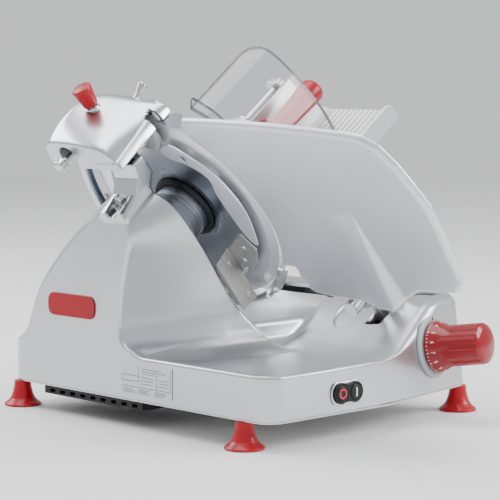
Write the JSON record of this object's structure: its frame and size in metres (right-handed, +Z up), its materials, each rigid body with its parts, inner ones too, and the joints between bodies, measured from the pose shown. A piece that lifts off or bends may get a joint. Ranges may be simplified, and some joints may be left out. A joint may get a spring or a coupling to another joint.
{
  "type": "deli meat slicer",
  "caption": "Gravity-feed deli slicer: tilted round blade with ring guard, sharpener, thickness gauge plate and a sliding food carriage with pusher, on a cast base.",
  "frame": {"origin": "centre of the footprint of the whole object, at the table surface its feet stand on", "axes": "+Z up, +Y towards the back (the operator stands at -Y and the carriage slides along Y), +X towards the carriage side"},
  "size_m": [0.5024, 0.681, 0.4841],
  "materials": {
    "cast_aluminium": "satin",
    "light_aluminium": "satin",
    "plate_aluminium": "smooth",
    "steel": "brushed",
    "polished_steel": "polished",
    "dark_metal": "satin",
    "black_plastic": "matte",
    "red_plastic": "gloss",
    "white_plastic": "gloss",
    "grey_plastic": "satin",
    "clear_plastic": "clear",
    "rubber_seal": "matte",
    "red_rubber": "gloss",
    "grinding_grit": "rough",
    "blue_grey_metal": "satin"
  },
  "bodies": {
    "frame": {"base_casting": "cast_aluminium", "bottom_cover": "steel", "vent_tray": "black_plastic", "foot_front_left": "red_rubber", "foot_front_right": "red_rubber", "foot_rear_left": "red_rubber", "foot_rear_right": "red_rubber", "cable_gland": "black_plastic", "badge": "red_plastic", "rating_plate": "steel", "switch_bezel": "black_plastic", "bearing_housing": "cast_aluminium", "front_bearing": "steel", "rear_bearing": "steel", "seal_ring": "rubber_seal", "ring_guard": "light_aluminium", "blade_scoop": "polished_steel", "blade_cover": "polished_steel", "motor_body": "dark_metal", "drive_belt": "rubber_seal", "slice_deflector": "plate_aluminium", "scraper_plate": "steel", "scraper_bracket": "steel", "sharpener_cover": "light_aluminium", "sharpener_frame": "black_plastic", "edge_guard": "blue_grey_metal", "sharpener_arm": "cast_aluminium", "arm_bolt": "steel", "gauge_rod": "steel", "knob_index_ring": "grey_plastic", "guide_shaft": "steel"},
    "blade": {"blade": "polished_steel", "blade_shaft": "steel", "blade_pulley": "dark_metal"},
    "motor": {"motor_pulley": "dark_metal"},
    "carriage": {"carriage_table": "light_aluminium", "carriage_end_wall": "light_aluminium", "carriage_arm": "light_aluminium", "carriage_slider": "dark_metal", "hand_guard": "clear_plastic", "pusher_rod": "polished_steel", "rod_block_lower": "cast_aluminium", "rod_block_upper": "cast_aluminium"},
    "pusher_bush": {"pusher_bush": "steel"},
    "pusher_arm": {"pusher_arm": "cast_aluminium", "pusher_plate": "light_aluminium", "pusher_handle": "red_plastic"},
    "gauge": {"gauge_plate": "plate_aluminium", "gauge_arm": "cast_aluminium"},
    "thickness_control": {"thickness_knob": "red_plastic", "knob_shaft": "steel"},
    "grinder": {"grinder_carrier": "steel", "sharpening_knob": "red_plastic"},
    "grinding_stone": {"grinding_stone": "grinding_grit"},
    "deburrer": {"deburr_button": "polished_steel"},
    "deburring_stone": {"deburring_stone": "grinding_grit"},
    "clamp_screw": {"clamp_screw": "polished_steel"},
    "cover_screw": {"cover_screw": "black_plastic"},
    "off_button": {"off_button": "red_plastic"},
    "on_button": {"on_button": "white_plastic"}
  },
  "joints": [
    {"name": "blade_spin", "type": "hinge", "parent": "frame", "child": "blade", "pos_m": [-0.05138, 0.1035, 0.275], "axis": [0.788, 0, 0.6157], "continuous": true},
    {"name": "motor_spin", "type": "hinge", "parent": "frame", "child": "motor", "pos_m": [-0.04377, 0.1635, 0.12232], "axis": [0.788, 0, 0.6157], "continuous": true},
    {"name": "carriage_slide", "type": "slide", "parent": "frame", "child": "carriage", "axis": [0, 1, 0], "range_m": [-0.29, 0]},
    {"name": "pusher_slide", "type": "slide", "parent": "carriage", "child": "pusher_bush", "axis": [0.788, 0, 0.6157], "range_m": [-0.145, 0.075]},
    {"name": "pusher_swing", "type": "hinge", "parent": "pusher_bush", "child": "pusher_arm", "pos_m": [0.11181, 0.1765, 0.36824], "axis": [0.788, 0, 0.6157], "range_deg": [-100, 0]},
    {"name": "gauge_slide", "type": "slide", "parent": "frame", "child": "gauge", "axis": [-0.788, 0, -0.6157], "range_m": [0, 0.014]},
    {"name": "thickness_turn", "type": "hinge", "parent": "frame", "child": "thickness_control", "pos_m": [0.14882, -0.1525, 0.0944], "axis": [0.2059, -0.9686, 0.1392], "range_deg": [0, 300]},
    {"name": "sharpen_push", "type": "slide", "parent": "frame", "child": "grinder", "axis": [0.6157, 0, -0.788], "range_m": [0, 0.0016], "stiffness_N_per_m": 800, "springref_m": -0.003},
    {"name": "grinding_stone_spin", "type": "hinge", "parent": "grinder", "child": "grinding_stone", "pos_m": [-0.14402, 0.0685, 0.36759], "axis": [0.788, 0, 0.6157], "continuous": true},
    {"name": "deburr_push", "type": "slide", "parent": "frame", "child": "deburrer", "axis": [-0.6018, 0, -0.7986], "range_m": [0, 0.003], "stiffness_N_per_m": 800, "springref_m": -0.002},
    {"name": "deburring_stone_spin", "type": "hinge", "parent": "deburrer", "child": "deburring_stone", "pos_m": [-0.12959, 0.0785, 0.38648], "axis": [0.788, 0, 0.6157], "continuous": true},
    {"name": "clamp_screw_turn", "type": "hinge", "parent": "frame", "child": "clamp_screw", "pos_m": [-0.24139, 0.1245, 0.33466], "axis": [0.788, 0, 0.6157], "range_deg": [0, 360]},
    {"name": "cover_screw_turn", "type": "hinge", "parent": "frame", "child": "cover_screw", "pos_m": [-0.04508, 0.2625, 0.27992], "axis": [0.788, 0, 0.6157], "range_deg": [0, 360]},
    {"name": "off_button_push", "type": "slide", "parent": "frame", "child": "off_button", "axis": [0, 1, 0], "range_m": [0, 0.0015], "stiffness_N_per_m": 600, "springref_m": -0.001},
    {"name": "on_button_push", "type": "slide", "parent": "frame", "child": "on_button", "axis": [0, 1, 0], "range_m": [0, 0.0015], "stiffness_N_per_m": 600, "springref_m": -0.001}
  ],
  "couplings": [
    {"joint": "motor_spin", "follows": "blade_spin", "ratio": 2.2667},
    {"joint": "thickness_turn", "follows": "gauge_slide", "rad_per_m": 373.9}
  ]
}
